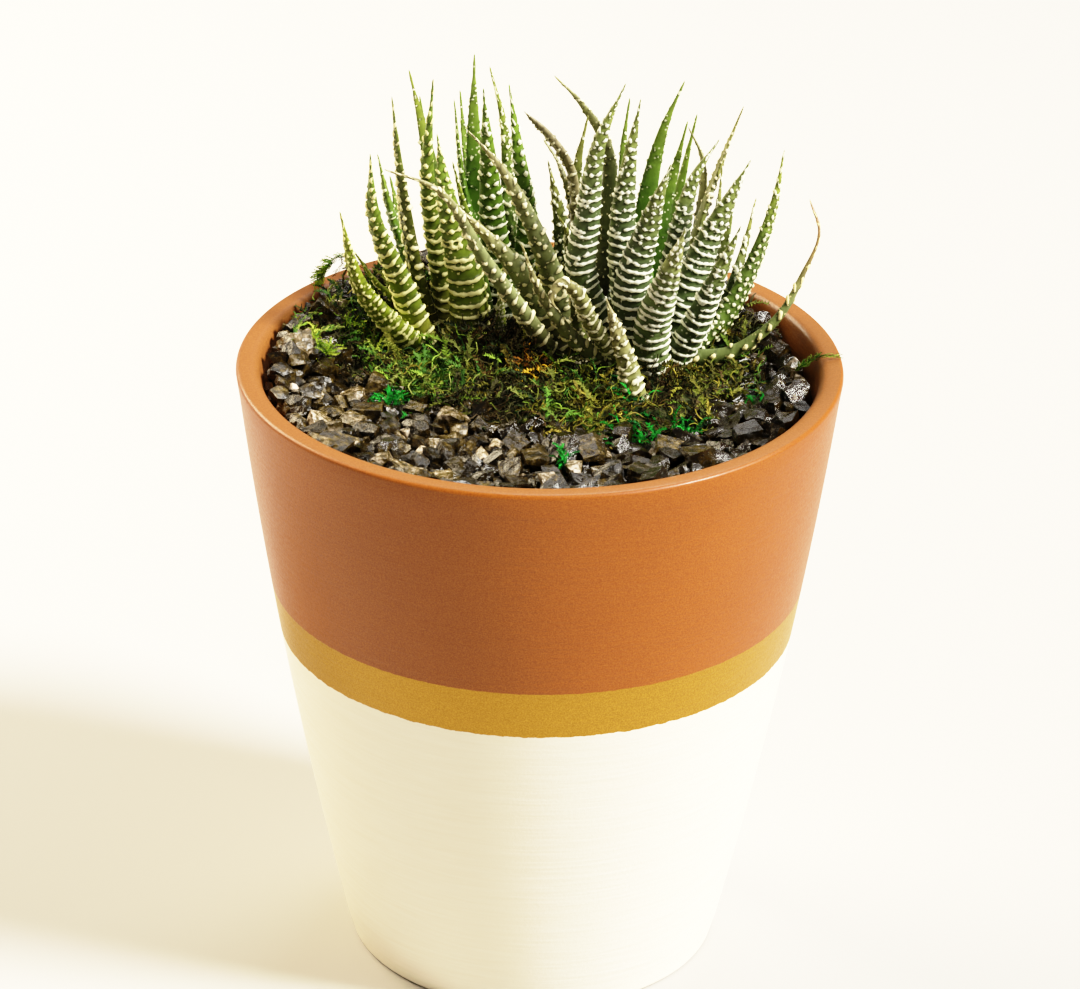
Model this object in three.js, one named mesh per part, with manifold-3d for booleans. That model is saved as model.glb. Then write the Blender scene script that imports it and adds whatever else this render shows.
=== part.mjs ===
// A zebra haworthia clump growing in a tapered terracotta pot, dressed with gravel and moss.
// Millimetres, +Z up. The origin is the centre of the pot's underside, and -Y is the front.

import * as THREE from 'three';
import Module from 'manifold-3d';
import { mergeVertices } from 'three/addons/utils/BufferGeometryUtils.js';

const wasm = await Module();
wasm.setup();

// Driving dimensions of the pot
const potHeight = 127;
const rimRadius = 60;
const footRadius = 37.6;
const wallBow = 1.85;
const wallThickness = 4.8;
const floorThickness = 8;
const drainRadius = 5.5;
const footRecess = 1.2;
const footRingWidth = 7;

// Driving dimensions of the filling
const seatGap = 0.3;
const soilTop = 106;
const gravelTop = 117.5;
const stemBottom = 98;
const stemTop = 119.5;

// Driving dimensions of the foliage. The two depths are shares of a leaf's width.
const leafRootDepth = 1.5;
const lastRingShare = 0.97;
const bandPitch = 6.5;
const bandHeight = 0.55;
const outerDepth = 0.34;
const innerDepth = 0.14;
const leastHalfWidth = 0.45;
const leastHalfDepth = 0.32;

const roundSegments = 48;
const wallSteps = 4;
const leafCorners = [0, 62, 118, 180, 270];
const sliverSize = 0.02;
const up = new THREE.Vector3(0, 0, 1);

// Repeatable random numbers between 0 and 1
function seededRandom(seed) {
  let state = seed;
  return () => {
    state = (state + 0x6d2b79f5) | 0;
    let mixed = Math.imul(state ^ (state >>> 15), 1 | state);
    mixed = (mixed + Math.imul(mixed ^ (mixed >>> 7), 61 | mixed)) ^ mixed;
    return ((mixed ^ (mixed >>> 14)) >>> 0) / 4294967296;
  };
}

// The value at a share of the way through a range
function within([low, high], share) {
  return low + (high - low) * share;
}

// A closed three.js geometry as a solid that can be joined and cut
function toSolid(geometry) {
  const bare = geometry.clone();
  bare.deleteAttribute('normal');
  bare.deleteAttribute('uv');
  const merged = mergeVertices(bare, 1e-4);
  return new wasm.Manifold(new wasm.Mesh({
    numProp: 3,
    vertProperties: new Float32Array(merged.attributes.position.array),
    triVerts: new Uint32Array(merged.index.array),
  }));
}

// A solid as a three.js geometry again
function toGeometry(solid) {
  const mesh = solid.getMesh();
  const geometry = new THREE.BufferGeometry();
  geometry.setAttribute('position', new THREE.BufferAttribute(mesh.vertProperties, 3));
  geometry.setIndex(new THREE.BufferAttribute(mesh.triVerts, 1));
  geometry.computeVertexNormals();
  return geometry;
}

// One body, rid of loose scraps, sealed hollows and slivers too fine to matter
function largestBody(solid) {
  const bodies = solid.simplify(sliverSize).decompose();
  return bodies.reduce((best, body) => (body.volume() > best.volume() ? body : best));
}

function joinAll(solids) {
  return wasm.Manifold.union(solids);
}

function turned(profile) {
  const geometry = new THREE.LatheGeometry(
    profile.map(([radius, z]) => new THREE.Vector2(radius, z)), roundSegments);
  geometry.rotateX(Math.PI / 2);
  return geometry;
}

// Pot: one turned piece with a gently bowed taper, a rounded lip, a foot ring and a drain hole
function outerRadius(z) {
  const t = z / potHeight;
  return footRadius + (rimRadius - footRadius) * t + 4 * wallBow * t * (1 - t);
}

function innerRadius(z) {
  return outerRadius(z) - wallThickness;
}

// Points of a quarter turn from startAngle, in degrees, about a lip's centre
function lipArc(centreRadius, centreZ, radius, startAngle) {
  return [0, 45, 90].map((step) => {
    const angle = THREE.MathUtils.degToRad(startAngle + step);
    return [centreRadius + radius * Math.cos(angle), centreZ + radius * Math.sin(angle)];
  });
}

function potGeometry() {
  const lipRadius = 1.5;
  const lipZ = potHeight - lipRadius;
  const footChamfer = 1;
  const ringInner = footRadius - footRingWidth;
  const profile = [
    [drainRadius, footRecess],
    [ringInner, footRecess],
    [ringInner + footRecess, 0],
    [footRadius - footChamfer, 0],
  ];
  for (let step = 0; step < wallSteps; step += 1) {
    const z = footChamfer + (lipZ - footChamfer) * (step / wallSteps);
    profile.push([outerRadius(z), z]);
  }
  profile.push(...lipArc(rimRadius - lipRadius, lipZ, lipRadius, 0));
  profile.push(...lipArc(rimRadius - wallThickness + lipRadius, lipZ, lipRadius, 90));
  const floorZ = floorThickness;
  for (let step = wallSteps - 1; step >= 0; step -= 1) {
    const z = floorZ + (lipZ - floorZ) * (step / wallSteps);
    profile.push([innerRadius(z), z]);
  }
  profile.push([drainRadius, floorZ]);
  profile.push([drainRadius, footRecess]);
  return turned(profile);
}

// A turned filling that follows the inside of the pot between two levels, clear of its wall
function fillingSolid(lowZ, highZ, clearance) {
  const profile = [[0, lowZ]];
  for (let step = 0; step <= wallSteps; step += 1) {
    const z = lowZ + (highZ - lowZ) * (step / wallSteps);
    profile.push([innerRadius(z) - clearance, z]);
  }
  profile.push([0, highZ]);
  return toSolid(turned(profile));
}

// Leaves. Each has the compass bearing of its keeled outer face in degrees (0 is +X, 270 the
// front), its width, and the points that its middle line passes from the stem to the tip.
const rosettes = [
  {
    name: 'rosette_left',
    centre: [-20, 25],
    stemRadius: 6.5,
    colour: 0x6f8f3a,
    leaves: [
      { face: 228, width: 6.6, path: [[-26, 18, 123], [-30, 16, 128], [-36, 14, 137], [-40, 13, 153]] },
      { face: 185, width: 4.2, path: [[-25, 26, 124], [-33, 26, 132], [-38, 26, 139]] },
      { face: 238, width: 6.9, path: [[-24, 20, 124], [-28, 18, 136], [-33, 16, 150], [-34, 14, 165]] },
      { face: 175, width: 6, path: [[-24, 27, 125], [-27, 27, 138], [-30, 27, 147], [-33, 26, 160]] },
      { face: 205, width: 6, path: [[-22, 24, 124], [-25, 22, 138], [-28, 22, 157], [-30, 22, 174]] },
      { face: 110, width: 5.4, path: [[-20, 29, 124], [-21, 31, 146], [-24, 33, 162], [-27, 34, 175]] },
      { face: 95, width: 5, path: [[-19, 30, 124], [-21, 35, 138], [-23, 38, 154], [-25, 40, 167]] },
      { face: 255, width: 5.6, path: [[-19, 26, 126], [-20, 27, 134], [-23, 28, 154], [-22, 29, 175]] },
      { face: 280, width: 8.6, path: [[-15, 21, 124], [-15, 20, 135], [-19, 20, 153], [-21, 20, 167]] },
      { face: 130, width: 5.6, path: [[-24, 30, 124], [-28, 36, 138], [-31, 39, 150]] },
    ],
  },
  {
    name: 'rosette_rear',
    centre: [-8, 34],
    stemRadius: 5.5,
    colour: 0x57833a,
    leaves: [
      { face: 230, width: 4.4, path: [[-11, 31, 124], [-13, 29, 137], [-16, 27, 150], [-18, 25, 159]] },
      { face: 175, width: 4.2, path: [[-11, 34, 124], [-13, 34, 138], [-16, 35, 152], [-18, 36, 168]] },
      { face: 130, width: 4.6, path: [[-10, 36, 124], [-13, 40, 140], [-16, 44, 157], [-17, 46, 166]] },
      { face: 95, width: 5.8, path: [[-10, 36, 124], [-13, 36, 142], [-14, 37, 161], [-14, 38, 177]] },
      { face: 268, width: 6.6, path: [[-8, 32, 124], [-10, 30, 145], [-11, 28, 160], [-12, 27, 174]] },
      { face: 75, width: 4.8, path: [[-6, 36, 124], [-7, 40, 145], [-8, 42, 160], [-11, 44, 172]] },
      { face: 320, width: 5.2, path: [[-5, 35, 124], [-3, 35, 142], [-5, 36, 157], [-7, 37, 171]] },
      { face: 100, width: 5.6, path: [[-9, 38, 123], [-10, 43, 136], [-12, 47, 148]] },
    ],
  },
  {
    name: 'rosette_centre',
    centre: [6, 16],
    stemRadius: 5.5,
    colour: 0x7d8460,
    leaves: [
      {
        face: 248,
        width: 4.3,
        path: [[2, 12, 124], [-2, 10, 131], [-11, 8, 145], [-20, 7, 160], [-31, 6, 165]],
      },
      { face: 252, width: 6.4, path: [[3, 16, 124], [-4, 15, 139], [-12, 14, 149], [-18, 14, 155]] },
      { face: 262, width: 6.4, path: [[5, 19, 126], [0, 20, 143], [-8, 21, 159], [-15, 22, 167]] },
      { face: 285, width: 4, path: [[8, 14, 124], [7, 13, 133], [5, 13, 142]] },
    ],
  },
  {
    name: 'rosette_back',
    centre: [9, 30],
    stemRadius: 5,
    colour: 0x5e7345,
    leaves: [
      {
        face: 200,
        width: 4.2,
        path: [[8, 28, 124], [7, 30, 138], [6, 31, 155], [1, 31, 163], [-4, 30, 168]],
      },
      { face: 130, width: 3.4, path: [[8, 32, 124], [6, 35, 146], [3, 38, 154], [0, 40, 158]] },
      { face: 250, width: 4.4, path: [[7, 27, 124], [5, 26, 134], [4, 25, 145], [1, 24, 160]] },
      { face: 90, width: 4.4, path: [[9, 33, 124], [7, 34, 142], [7, 35, 154], [9, 36, 165]] },
      {
        face: 70,
        width: 4.6,
        path: [[11, 33, 124], [13, 38, 137], [13, 42, 155], [8, 43, 164], [2, 42, 171]],
      },
      { face: 250, width: 3, path: [[8, 26, 124], [6, 23, 139], [5, 21, 146], [3, 20, 150]] },
      { face: 80, width: 5, path: [[11, 34, 123], [14, 40, 136], [16, 45, 148]] },
    ],
  },
  {
    name: 'rosette_right',
    centre: [22, 13],
    stemRadius: 7.5,
    colour: 0x4d6b35,
    leaves: [
      {
        face: 248,
        width: 7.4,
        path: [[18, 8, 122], [12, 10, 131], [8, 10, 142], [9, 10, 154], [11, 11, 169], [16, 13, 181]],
      },
      { face: 105, width: 4.8, path: [[20, 18, 124], [17, 21, 147], [16, 22, 164], [17, 23, 174]] },
      {
        face: 265,
        width: 7.2,
        path: [[21, 14, 124], [17, 13, 138], [16, 13, 152], [17, 14, 164], [19, 15, 177]],
      },
      {
        face: 85,
        width: 5.8,
        path: [[22, 19, 124], [20, 25, 137], [21, 28, 150], [24, 29, 165], [28, 30, 175]],
      },
      { face: 75, width: 5.2, path: [[24, 20, 124], [24, 29, 143], [27, 34, 156], [29, 36, 164]] },
      { face: 60, width: 4.4, path: [[25, 21, 124], [26, 32, 140], [29, 38, 155], [31, 40, 164]] },
      { face: 40, width: 4.4, path: [[26, 19, 124], [31, 27, 142], [32, 32, 157], [29, 33, 164]] },
      {
        face: 262,
        width: 8.6,
        path: [[22, 9, 122], [19, 7, 130], [18, 6, 141], [21, 6, 154], [25, 6, 167]],
      },
      { face: 278, width: 6.6, path: [[24, 16, 124], [27, 19, 144], [30, 22, 157], [35, 24, 165]] },
      { face: 20, width: 4.6, path: [[27, 17, 124], [31, 25, 145], [36, 30, 159], [40, 32, 169]] },
      { face: 350, width: 4.6, path: [[28, 16, 124], [32, 22, 137], [35, 26, 150], [36, 28, 158]] },
      {
        face: 288,
        width: 8.2,
        path: [[26, 12, 123], [29, 13, 134], [32, 14, 145], [37, 15, 156], [41, 16, 164]],
      },
      { face: 330, width: 4.8, path: [[29, 17, 123], [36, 22, 129], [40, 27, 138], [43, 30, 150]] },
      { face: 292, width: 7, path: [[26, 9, 123], [30, 7, 131], [34, 5, 142], [39, 4, 155]] },
      {
        face: 335,
        width: 5.6,
        path: [[29, 14, 123], [36, 18, 128], [42, 21, 139], [46, 23, 151], [48, 24, 163]],
      },
      {
        face: 300,
        width: 3.6,
        path: [[29, 10, 123], [38, 10, 125], [47, 11, 132], [52, 13, 141], [55, 15, 149], [53, 18, 155]],
      },
      { face: 268, width: 7.8, path: [[22, 7, 123], [22, 4, 133], [25, 0, 146], [28, -2, 157]] },
      { face: 250, width: 3.8, path: [[19, 5, 122], [15, 0, 132], [13, -2, 140], [12, -2, 145]] },
      { face: 245, width: 4.4, path: [[15, 9, 122], [7, 6, 129], [0, 4, 140], [-4, 3, 151]] },
      {
        face: 250,
        width: 3.2,
        path: [[16, 7, 124], [10, 4, 134], [7, 3, 141], [4, 2, 143], [2, 1, 140], [4, 1, 137]],
      },
      { face: 55, width: 5.6, path: [[28, 20, 123], [35, 29, 134], [39, 35, 147]] },
    ],
  },
  {
    name: 'pup',
    centre: [-8, 20],
    stemRadius: 1.3,
    colour: 0x8c9a3c,
    leaves: [
      { face: 265, width: 2.6, path: [[-8, 20, 122], [-8, 19, 131], [-8, 18, 139]] },
    ],
  },
];

// Share of the full width at a share of the length: full near the base, drawn out to a point
function taper(t) {
  return 1 - t * t;
}

// One leaf: a curved blade with a keeled outer face that is ribbed across, and a flatter inner one
function leafGeometry(rosette, leaf, grow) {
  const bearing = THREE.MathUtils.degToRad(leaf.face);
  const outward = new THREE.Vector3(Math.cos(bearing), Math.sin(bearing), 0);
  const rootInset = rosette.stemRadius * 0.5;
  const rootZ = stemTop - leafRootDepth;
  const root = new THREE.Vector3(...rosette.centre, rootZ).addScaledVector(outward, rootInset);
  const knots = [root, ...leaf.path.map((point) => new THREE.Vector3(...point))];
  const curve = new THREE.CatmullRomCurve3(knots, false, 'centripetal');
  const bands = Math.max(3, Math.round(curve.getLength() / bandPitch) - 1);
  const steps = 2 * bands;
  const positions = [];
  const addPoint = (point) => positions.push(point.x, point.y, point.z);
  for (let step = 0; step <= steps; step += 1) {
    const t = (step / steps) * lastRingShare;
    const centre = curve.getPointAt(t);
    const along = curve.getTangentAt(t);
    if (step === 0) {
      centre.addScaledVector(along, -grow);
    }
    const back = outward.clone().addScaledVector(along, -outward.dot(along)).normalize();
    const side = new THREE.Vector3().crossVectors(back, along);
    const width = leaf.width * taper(t);
    const rib = step % 2 === 1 ? bandHeight : 0;
    const halfWidth = Math.max(width / 2, leastHalfWidth) + rib * 0.5 + grow;
    const depthOut = Math.max(width * outerDepth, leastHalfDepth) + rib + grow;
    const depthIn = Math.max(width * innerDepth, leastHalfDepth) + grow;
    leafCorners.forEach((corner) => {
      const angle = THREE.MathUtils.degToRad(corner);
      const depth = Math.sin(angle) > 0 ? depthOut : depthIn;
      addPoint(centre.clone()
        .addScaledVector(side, halfWidth * Math.cos(angle))
        .addScaledVector(back, depth * Math.sin(angle)));
    });
  }
  addPoint(curve.getPointAt(1).addScaledVector(curve.getTangentAt(1), grow));
  return closedTube(positions, steps, leafCorners.length);
}

// Rings of equal size, in order, joined into a closed tube that ends in the last point
function closedTube(positions, steps, sides) {
  const faces = [];
  const tip = (steps + 1) * sides;
  for (let corner = 0; corner < sides; corner += 1) {
    const next = (corner + 1) % sides;
    for (let step = 0; step < steps; step += 1) {
      const low = step * sides;
      const high = low + sides;
      faces.push(low + corner, low + next, high + next);
      faces.push(low + corner, high + next, high + corner);
    }
    faces.push(steps * sides + corner, steps * sides + next, tip);
  }
  for (let corner = 1; corner < sides - 1; corner += 1) {
    faces.push(0, corner + 1, corner);
  }
  const geometry = new THREE.BufferGeometry();
  geometry.setAttribute('position', new THREE.BufferAttribute(new Float32Array(positions), 3));
  geometry.setIndex(faces);
  return geometry;
}

// The short stem that a rosette's leaves grow from, standing in the soil
function stemSolid(rosette, grow) {
  const radius = rosette.stemRadius + grow;
  const height = stemTop + grow - (stemBottom - grow);
  const geometry = new THREE.CylinderGeometry(radius, radius, height, 12);
  geometry.rotateX(Math.PI / 2);
  geometry.translate(...rosette.centre, stemBottom - grow + height / 2);
  return toSolid(geometry);
}

function rosetteSolid(rosette, grow) {
  const leaves = rosette.leaves.map((leaf) => toSolid(leafGeometry(rosette, leaf, grow)));
  return joinAll([stemSolid(rosette, grow), ...leaves]);
}

// Moss: a ragged mat round the plants, rough all over with tufts, and sprigs that arch out of it.
// Tufts are scattered by a share of their spacing, and sprigs stand at shares of the way to the edge.
const mossCentre = [-2, 14];
const mossEdge = [
  [47, 18], [40, 31], [26, 42], [8, 49], [-14, 48], [-32, 39], [-43, 28], [-48, 16],
  [-38, 3], [-22, -6], [-6, -17], [12, -20], [29, -20], [40, -6],
];
const mossEdgeSteps = 60;
const mossBottom = gravelTop + seatGap;
const mossThickness = 2.6;
const mossSwell = 0.8;
const tuftSpacing = 3.8;
const tuftScatter = 0.6;
const tuftHeight = 2.8;
const sprigCount = 20;
const sprigRadius = 0.9;
const sprigFootHeight = 1.2;
const sprigReach = [6, 11];
const sprigRise = [4.6, 6.4];
const sprigPlaces = [0.45, 0.97];

function mossOutline(samples) {
  const knots = mossEdge.map(([x, y]) => new THREE.Vector3(x, y, 0));
  const curve = new THREE.CatmullRomCurve3(knots, true, 'centripetal');
  return curve.getSpacedPoints(samples).slice(0, samples);
}

function withoutNormals(geometry) {
  geometry.deleteAttribute('normal');
  geometry.deleteAttribute('uv');
  return mergeVertices(geometry, 1e-4);
}

// A slab whose top stands up in tufts, from which the outline is cut
function mossSlabGeometry(random) {
  const width = 104;
  const depth = 78;
  const height = 10;
  const [centreX, centreY] = mossCentre;
  const slab = withoutNormals(new THREE.BoxGeometry(
    width, depth, height, Math.round(width / tuftSpacing), Math.round(depth / tuftSpacing), 1));
  const corners = slab.attributes.position;
  for (let index = 0; index < corners.count; index += 1) {
    const x = corners.getX(index) + centreX + (random() - 0.5) * tuftSpacing * tuftScatter;
    const y = corners.getY(index) + centreY + (random() - 0.5) * tuftSpacing * tuftScatter;
    const swell = mossSwell * Math.sin(x * 0.31 + 1.3) * Math.cos(y * 0.29 - 0.6);
    const top = mossBottom + mossThickness + swell + (random() - 0.5) * tuftHeight;
    corners.setXYZ(index, x, y, corners.getZ(index) > 0 ? top : mossBottom - height);
  }
  return slab;
}

// A sprig: a thin three-sided shoot that arches over from its foot
function sprigGeometry(foot, bearing, reach, rise) {
  const ahead = new THREE.Vector3(Math.cos(bearing), Math.sin(bearing), 0);
  const curve = new THREE.QuadraticBezierCurve3(
    foot,
    foot.clone().addScaledVector(ahead, reach * 0.35).addScaledVector(up, rise * 1.6),
    foot.clone().addScaledVector(ahead, reach).addScaledVector(up, rise * 0.6),
  );
  const positions = [];
  const steps = 2;
  for (let step = 0; step <= steps; step += 1) {
    const t = (step / steps) * 0.8;
    const centre = curve.getPoint(t);
    const along = curve.getTangent(t);
    const side = new THREE.Vector3().crossVectors(ahead, up);
    const top = new THREE.Vector3().crossVectors(side, along);
    for (let corner = 0; corner < 3; corner += 1) {
      const angle = (corner / 3) * 2 * Math.PI;
      const point = centre.clone()
        .addScaledVector(top, sprigRadius * Math.cos(angle))
        .addScaledVector(side, sprigRadius * Math.sin(angle));
      positions.push(point.x, point.y, point.z);
    }
  }
  const tip = curve.getPoint(1);
  positions.push(tip.x, tip.y, tip.z);
  return closedTube(positions, steps, 3);
}

function mossSolid() {
  const random = seededRandom(23);
  const parts = [toSolid(mossSlabGeometry(random))];
  const outline = mossOutline(sprigCount);
  const [centreX, centreY] = mossCentre;
  outline.forEach((point) => {
    const share = within(sprigPlaces, random());
    const x = centreX + (point.x - centreX) * share;
    const y = centreY + (point.y - centreY) * share;
    const foot = new THREE.Vector3(x, y, mossBottom + sprigFootHeight);
    const outwards = Math.atan2(point.y - centreY, point.x - centreX);
    const bearing = outwards + (random() - 0.5) * 3;
    const reach = within(sprigReach, random());
    const rise = within(sprigRise, random());
    parts.push(toSolid(sprigGeometry(foot, bearing, reach, rise)));
  });
  return joinAll(parts).intersect(mossBlock(0, mossBottom));
}

// A tall block over the moss's ragged outline, which is let out all round
function mossBlock(letOut, lowZ) {
  const outline = mossOutline(mossEdgeSteps);
  const shape = new THREE.Shape(outline.map((point, index) => {
    const before = outline[(index + outline.length - 1) % outline.length];
    const after = outline[(index + 1) % outline.length];
    const edge = new THREE.Vector2(after.x - before.x, after.y - before.y).normalize();
    const ragged = 0.9 * Math.sin(index * 1.9) + 0.6 * Math.sin(index * 3.3 + 1);
    const offset = new THREE.Vector2(edge.y, -edge.x).multiplyScalar(letOut + ragged);
    return new THREE.Vector2(point.x + offset.x, point.y + offset.y);
  }));
  const height = 20;
  const geometry = new THREE.ExtrudeGeometry(shape, { depth: height, bevelEnabled: false });
  geometry.translate(0, 0, lowZ);
  return toSolid(geometry);
}

// Gravel: a bed with crushed chips standing out of it wherever the moss leaves it bare. A chip's
// length, breadth and height, and how far its corners jut, are shares of its size.
const chipSpacing = 8.1;
const chipSize = 6.8;
const chipInset = 3.2;
const chipShift = 0.8;
const chipShares = [[0.85, 1.15], [0.7, 0.9], [0.6, 0.8]];
const chipRoughness = 0.26;
const chipTilt = 0.9;
const chipLift = [0.4, 2];
const bareBelowRim = 3;
const mossCutGap = 0.5;
const goldenAngle = Math.PI * (3 - Math.sqrt(5));

function chipGeometry(random) {
  const sides = chipShares.map((range) => chipSize * within(range, random()));
  const block = withoutNormals(new THREE.BoxGeometry(...sides));
  const corners = block.attributes.position;
  for (let index = 0; index < corners.count; index += 1) {
    const jut = () => (random() - 0.5) * chipSize * chipRoughness;
    corners.setXYZ(index, corners.getX(index) + jut(), corners.getY(index) + jut(),
      corners.getZ(index) + jut());
  }
  const lean = () => (random() - 0.5) * chipTilt;
  const turn = new THREE.Euler(lean(), lean(), random() * Math.PI);
  block.applyMatrix4(new THREE.Matrix4().makeRotationFromEuler(turn));
  return block;
}

function insideMoss(x, y, outline) {
  let inside = false;
  outline.forEach((point, index) => {
    const other = outline[(index + 1) % outline.length];
    const spans = (point.y > y) !== (other.y > y);
    if (spans && x < point.x + ((y - point.y) / (other.y - point.y)) * (other.x - point.x)) {
      inside = !inside;
    }
  });
  return inside;
}

function chipSolids() {
  const random = seededRandom(29);
  const outline = mossOutline(mossEdgeSteps);
  const reach = innerRadius(gravelTop) - chipInset;
  const count = Math.floor((Math.PI * reach * reach) / (chipSpacing * chipSpacing));
  const chips = [];
  for (let index = 0; index < count; index += 1) {
    const radius = reach * Math.sqrt((index + 0.5) / count);
    const x = radius * Math.cos(index * goldenAngle) + (random() - 0.5) * chipShift;
    const y = radius * Math.sin(index * goldenAngle) + (random() - 0.5) * chipShift;
    const lift = within(chipLift, random());
    const chip = chipGeometry(random);
    if (!insideMoss(x, y, outline)) {
      chip.translate(x, y, gravelTop + lift);
      chips.push(toSolid(chip));
    }
  }
  return chips;
}

function gravelSolid() {
  const bed = fillingSolid(soilTop + seatGap, gravelTop, 2 * seatGap);
  const envelope = fillingSolid(soilTop, potHeight - bareBelowRim, seatGap);
  const heap = joinAll([bed, ...chipSolids()]).intersect(envelope);
  return heap.subtract(mossBlock(mossCutGap, gravelTop));
}

// The object put together
const group = new THREE.Group();

function addPiece(name, geometry, colour, roughness, metalness) {
  const material = new THREE.MeshStandardMaterial({ color: colour, roughness, metalness });
  const mesh = new THREE.Mesh(geometry, material);
  mesh.name = name;
  group.add(mesh);
}

const stemHoles = joinAll(rosettes.map((rosette) => stemSolid(rosette, seatGap)));
const wideHoles = joinAll(rosettes.map((rosette) => stemSolid(rosette, 3 * seatGap)));
const plantClearance = joinAll(rosettes.map((rosette) => rosetteSolid(rosette, seatGap)));
const soil = fillingSolid(floorThickness + seatGap, soilTop, seatGap).subtract(stemHoles);
const gravel = gravelSolid().subtract(wideHoles);
const moss = mossSolid().subtract(plantClearance);

addPiece('pot', potGeometry(), 0xb5673a, 0.45, 0);
addPiece('soil', toGeometry(largestBody(soil)), 0x33261c, 1, 0);
addPiece('gravel', toGeometry(largestBody(gravel)), 0x3b3733, 0.55, 0);
addPiece('moss', toGeometry(largestBody(moss)), 0x55652a, 0.95, 0);
rosettes.forEach((rosette) => {
  addPiece(rosette.name, toGeometry(largestBody(rosetteSolid(rosette, 0))), rosette.colour, 0.5, 0);
});

export default group;
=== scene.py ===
import bisect
import math
import random

import bmesh
import bpy
from mathutils import Euler, Matrix, Quaternion, Vector
from mathutils.geometry import interpolate_bezier


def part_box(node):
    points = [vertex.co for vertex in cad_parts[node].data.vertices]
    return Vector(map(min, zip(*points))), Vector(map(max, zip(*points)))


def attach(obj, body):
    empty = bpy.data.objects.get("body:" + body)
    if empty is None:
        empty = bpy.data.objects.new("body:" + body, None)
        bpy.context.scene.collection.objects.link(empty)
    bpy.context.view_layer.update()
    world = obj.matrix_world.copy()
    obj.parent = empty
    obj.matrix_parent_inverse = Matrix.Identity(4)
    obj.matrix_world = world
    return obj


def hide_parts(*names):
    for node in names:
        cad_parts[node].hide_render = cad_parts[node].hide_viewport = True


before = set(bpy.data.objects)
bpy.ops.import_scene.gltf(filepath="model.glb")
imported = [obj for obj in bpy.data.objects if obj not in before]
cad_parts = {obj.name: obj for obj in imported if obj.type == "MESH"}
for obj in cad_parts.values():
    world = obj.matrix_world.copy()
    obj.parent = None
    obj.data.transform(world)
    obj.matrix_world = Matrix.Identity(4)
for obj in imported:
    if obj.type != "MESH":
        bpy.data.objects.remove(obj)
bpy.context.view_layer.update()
mm = 0.001

# Camera. A long lens a metre away looks down on the pot from the front, with a slight roll. The tips
# of the leaves come near the top of its frame, and the pot's foot reaches the lower edge.
camera_pitch = math.radians(26.43)
camera_yaw = math.radians(0.027)
camera_roll = math.radians(0.846)

scene = bpy.context.scene
camera_data = bpy.data.cameras.new("camera")
camera_data.sensor_width = 36
camera_data.lens = 160.36
camera = bpy.data.objects.new("camera", camera_data)
camera.location = (0, -0.86273, 0.52643)
camera_aim = Euler((math.pi / 2 - camera_pitch, 0, -camera_yaw)).to_quaternion()
camera.rotation_mode = "QUATERNION"
camera.rotation_quaternion = camera_aim @ Quaternion((0, 0, 1), camera_roll)
scene.collection.objects.link(camera)
scene.camera = camera

# The camera's own response: deep shadows, straight middle tones and a soft shoulder above them. Each
# point is a brightness of the scene and the tone that it gets in the picture.
response_points = (
    (0.02, 0.009), (0.06, 0.042), (0.15, 0.138), (0.3, 0.3), (0.6, 0.58), (1.0, 0.81), (1.6, 0.94),
)
brightest = 3
view = scene.view_settings
view.view_transform = "Standard"
view.use_curve_mapping = True
view.curve_mapping.white_level = (brightest, brightest, brightest)
all_channels = view.curve_mapping.curves[3]
for brightness, picture_tone in response_points:
    all_channels.points.new(brightness / brightest, picture_tone)
view.curve_mapping.update()

# Light. A bright white room: a soft sun from a window on the right, a lamp behind on the left that
# lights the pot's edge, one behind above that glints on the rim, and white light from all round.
aim_height = 0.12


def add_light(name, kind, bearing, elevation, distance, energy, colour):
    """A light that faces the pot. Bearing 0 is the front and 90 the right."""
    around = math.radians(bearing)
    rise = math.radians(elevation)
    away = Vector((math.sin(around) * math.cos(rise), -math.cos(around) * math.cos(rise), math.sin(rise)))
    data = bpy.data.lights.new(name, kind)
    data.energy = energy
    data.color = colour
    light = bpy.data.objects.new(name, data)
    light.location = Vector((0, 0, aim_height)) + away * distance
    light.rotation_euler = (-away).to_track_quat("-Z", "Y").to_euler()
    scene.collection.objects.link(light)
    return data


window_sun = add_light("window_sun", "SUN", bearing=71, elevation=42, distance=2, energy=10.6,
                       colour=(1.0, 0.97, 0.9))
window_sun.angle = math.radians(14)
left_lamp = add_light("left_lamp", "AREA", bearing=-125, elevation=30, distance=0.9, energy=18,
                      colour=(1.0, 0.85, 0.6))
left_lamp.size = 0.5
back_lamp = add_light("back_lamp", "AREA", bearing=165, elevation=58, distance=0.8, energy=3.5,
                      colour=(1.0, 0.97, 0.93))
back_lamp.size = 0.3

white_room = bpy.data.worlds.new("white_room")
scene.world = white_room
white_room.use_nodes = True
walls = white_room.node_tree.nodes["Background"]
walls.inputs["Color"].default_value = (1.0, 0.985, 0.96, 1)
walls.inputs["Strength"].default_value = 0.23


# Floor. A plain pale matt floor for the pot to stand on, which isn't part of the object.
def linear(code):
    """An sRGB hex value as linear red, green, blue and alpha."""
    shares = [int(code[place:place + 2], 16) / 255 for place in (1, 3, 5)]
    return (*((s / 12.92 if s <= 0.04045 else ((s + 0.055) / 1.055) ** 2.4) for s in shares), 1)


def new_material(name):
    """A material with its node tree and its Principled shader."""
    material = bpy.data.materials.new(name)
    material.use_nodes = True
    return material, material.node_tree, material.node_tree.nodes["Principled BSDF"]


def set_inputs(node, inputs):
    """Gives each input of a node its value, or links it to the output that feeds it."""
    for socket, value in inputs.items():
        if isinstance(value, bpy.types.NodeSocket):
            node.id_data.links.new(value, node.inputs[socket])
        else:
            node.inputs[socket].default_value = value


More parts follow.
